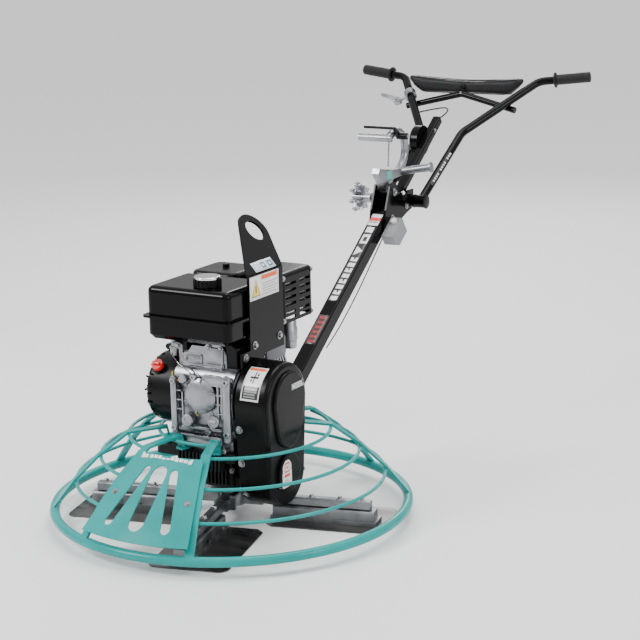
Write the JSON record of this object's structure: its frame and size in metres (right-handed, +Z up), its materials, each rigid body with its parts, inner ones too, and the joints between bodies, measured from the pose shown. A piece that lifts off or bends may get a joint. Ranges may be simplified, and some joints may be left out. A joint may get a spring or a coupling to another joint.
{
  "type": "walk-behind power trowel",
  "caption": "Walk-behind engine-driven concrete trowel: round guard ring, pitched blades on a spider, belt drive, long handle with pitch control and throttle.",
  "frame": {"origin": "on the floor, under the middle of the whole machine's bounding box", "axes": "+Y towards the operator's end of the handle, +X towards the belt drive side, +Z up"},
  "size_m": [0.9393, 1.9779, 1.02],
  "materials": {
    "paint_teal": "gloss enamel",
    "paint_black_gloss": "gloss powder coat",
    "paint_black_satin": "satin powder coat",
    "gearbox_black": "painted casting",
    "shaft_steel": "machined",
    "bronze": "machined",
    "pulley_iron": "machined casting",
    "hub_iron": "zinc plated",
    "belt_rubber": "matte",
    "cast_alloy": "as cast",
    "black_plastic": "satin",
    "grey_plastic": "satin",
    "pale_plastic": "satin",
    "red_plastic": "gloss",
    "chrome_cap": "polished",
    "grip_rubber": "ribbed",
    "pad_vinyl": "grained vinyl",
    "cable_black": "sheathed cable",
    "rope_fibre": "braided",
    "blade_steel": "mill finish"
  },
  "bodies": {
    "frame": {"guard_ring": "paint_teal", "guard_rods": "paint_teal", "guard_arms": "paint_teal", "front_shield": "paint_teal", "gearbox_housing": "gearbox_black", "drive_belt": "belt_rubber", "belt_guard": "paint_black_satin", "engine_base": "gearbox_black", "crankcase": "cast_alloy", "cylinder_head": "cast_alloy", "rocker_cover": "cast_alloy", "recoil_housing": "black_plastic", "fuel_tank": "paint_black_gloss", "air_cleaner": "black_plastic", "muffler": "shaft_steel", "muffler_guard": "paint_black_satin", "carburettor": "cast_alloy", "lifting_bail": "paint_black_gloss", "handle_tube": "paint_black_gloss", "handle_head": "paint_black_gloss", "stop_box": "grey_plastic", "drum_cover": "paint_black_gloss", "pitch_cable": "cable_black"},
    "rotor": {"spider_hub": "hub_iron", "output_shaft": "shaft_steel", "worm_wheel": "bronze"},
    "plate": {"pressure_plate": "shaft_steel"},
    "fork": {"pitch_fork": "hub_iron"},
    "worm": {"worm_shaft": "shaft_steel", "gearbox_pulley": "pulley_iron"},
    "crank": {"crank_pulley": "pulley_iron"},
    "handlebar_set": {"handlebar": "paint_black_gloss", "crossbar": "paint_black_gloss", "grips": "grip_rubber", "belly_pad": "pad_vinyl", "throttle_clamp": "cast_alloy", "throttle_cable": "cable_black"},
    "throttle": {"throttle_lever": "cast_alloy"},
    "knob": {"star_knob": "cast_alloy"},
    "pitch_control": {"pitch_handle": "cast_alloy"},
    "trigger": {"pitch_trigger": "black_plastic"},
    "stop_push": {"stop_button": "pale_plastic"},
    "switch": {"engine_switch": "red_plastic"},
    "tank_cap": {"fuel_cap": "chrome_cap"},
    "choke": {"choke_lever": "black_plastic"},
    "governor": {"governor_arm": "shaft_steel"},
    "starter": {"recoil_grip": "black_plastic", "recoil_rope": "rope_fibre"},
    "arm_1": {"trowel_arm_1": "hub_iron", "blade_bar_1": "paint_black_satin", "blade_1": "blade_steel"},
    "arm_2": {"trowel_arm_2": "hub_iron", "blade_bar_2": "paint_black_satin", "blade_2": "blade_steel"},
    "arm_3": {"trowel_arm_3": "hub_iron", "blade_bar_3": "paint_black_satin", "blade_3": "blade_steel"},
    "arm_4": {"trowel_arm_4": "hub_iron", "blade_bar_4": "paint_black_satin", "blade_4": "blade_steel"}
  },
  "joints": [
    {"name": "rotor_spin", "type": "hinge", "parent": "frame", "child": "rotor", "pos_m": [0, -0.51925, 0.1], "axis": [0, 0, 1], "continuous": true},
    {"name": "plate_press", "type": "slide", "parent": "rotor", "child": "plate", "axis": [0, 0, -1], "range_m": [0, 0.012]},
    {"name": "fork_tilt", "type": "hinge", "parent": "frame", "child": "fork", "pos_m": [0, -0.43125, 0.091], "axis": [1, 0, 0], "range_deg": [0, 7.8]},
    {"name": "worm_spin", "type": "hinge", "parent": "frame", "child": "worm", "pos_m": [0, -0.56725, 0.152], "axis": [1, 0, 0], "continuous": true},
    {"name": "crank_spin", "type": "hinge", "parent": "frame", "child": "crank", "pos_m": [0.15, -0.56725, 0.34], "axis": [1, 0, 0], "continuous": true},
    {"name": "handlebar_height", "type": "hinge", "parent": "frame", "child": "handlebar_set", "pos_m": [0, 0.46075, 0.674], "axis": [1, 0, 0], "range_deg": [-20, 25], "deforming": ["throttle_cable"]},
    {"name": "throttle_turn", "type": "hinge", "parent": "handlebar_set", "child": "throttle", "pos_m": [-0.214, 0.85675, 0.918], "axis": [0, -0.5501, 0.8351], "range_deg": [0, 60]},
    {"name": "knob_turn", "type": "hinge", "parent": "handlebar_set", "child": "knob", "pos_m": [-0.134, 0.46075, 0.674], "axis": [1, 0, 0], "range_deg": [0, 120]},
    {"name": "pitch_swing", "type": "hinge", "parent": "frame", "child": "pitch_control", "pos_m": [0, 0.35375, 0.722], "axis": [1, 0, 0], "range_deg": [0, 45]},
    {"name": "trigger_squeeze", "type": "hinge", "parent": "pitch_control", "child": "trigger", "pos_m": [0, 0.41275, 0.872], "axis": [1, 0, 0], "range_deg": [0, 10], "stiffness_Nm_per_rad": 0.8, "springref_deg": -8.59},
    {"name": "stop_press", "type": "slide", "parent": "frame", "child": "stop_push", "axis": [0, 0.5807, -0.8141], "range_m": [0, 0.005], "stiffness_N_per_m": 400, "springref_m": -0.002},
    {"name": "switch_turn", "type": "hinge", "parent": "frame", "child": "switch", "pos_m": [-0.13, -0.636, 0.4041], "axis": [0, -0.7314, 0.682], "range_deg": [0, 45]},
    {"name": "cap_turn", "type": "hinge", "parent": "frame", "child": "tank_cap", "pos_m": [0.002, -0.60525, 0.634], "axis": [0, 0, 1], "range_deg": [0, 90]},
    {"name": "choke_turn", "type": "hinge", "parent": "frame", "child": "choke", "pos_m": [-0.104, -0.46925, 0.476], "axis": [0, 1, 0], "range_deg": [0, 60]},
    {"name": "governor_turn", "type": "hinge", "parent": "frame", "child": "governor", "pos_m": [-0.015, -0.65125, 0.3835], "axis": [0, 1, 0], "range_deg": [0, 18]},
    {"name": "starter_pull", "type": "slide", "parent": "frame", "child": "starter", "axis": [0, 0, 1], "range_m": [0, 0.5], "deforming": ["recoil_rope"]},
    {"name": "arm_1_pitch", "type": "hinge", "parent": "rotor", "child": "arm_1", "pos_m": [0, -0.51925, 0.048], "axis": [-0.972, -0.2351, 0], "range_deg": [0, 20]},
    {"name": "arm_2_pitch", "type": "hinge", "parent": "rotor", "child": "arm_2", "pos_m": [0, -0.51925, 0.048], "axis": [0.2351, -0.972, 0], "range_deg": [0, 20]},
    {"name": "arm_3_pitch", "type": "hinge", "parent": "rotor", "child": "arm_3", "pos_m": [0, -0.51925, 0.048], "axis": [0.972, 0.2351, 0], "range_deg": [0, 20]},
    {"name": "arm_4_pitch", "type": "hinge", "parent": "rotor", "child": "arm_4", "pos_m": [0, -0.51925, 0.048], "axis": [-0.2351, 0.972, 0], "range_deg": [0, 20]}
  ],
  "couplings": [
    {"joint": "plate_press", "follows": "pitch_swing", "m_per_rad": 0.015266},
    {"joint": "fork_tilt", "follows": "pitch_swing", "ratio": 0.17311},
    {"joint": "worm_spin", "follows": "rotor_spin", "ratio": 20},
    {"joint": "crank_spin", "follows": "rotor_spin", "ratio": 26.364},
    {"joint": "governor_turn", "follows": "throttle_turn", "ratio": 0.299},
    {"joint": "arm_1_pitch", "follows": "pitch_swing", "ratio": 0.444},
    {"joint": "arm_2_pitch", "follows": "pitch_swing", "ratio": 0.444},
    {"joint": "arm_3_pitch", "follows": "pitch_swing", "ratio": 0.444},
    {"joint": "arm_4_pitch", "follows": "pitch_swing", "ratio": 0.444}
  ]
}
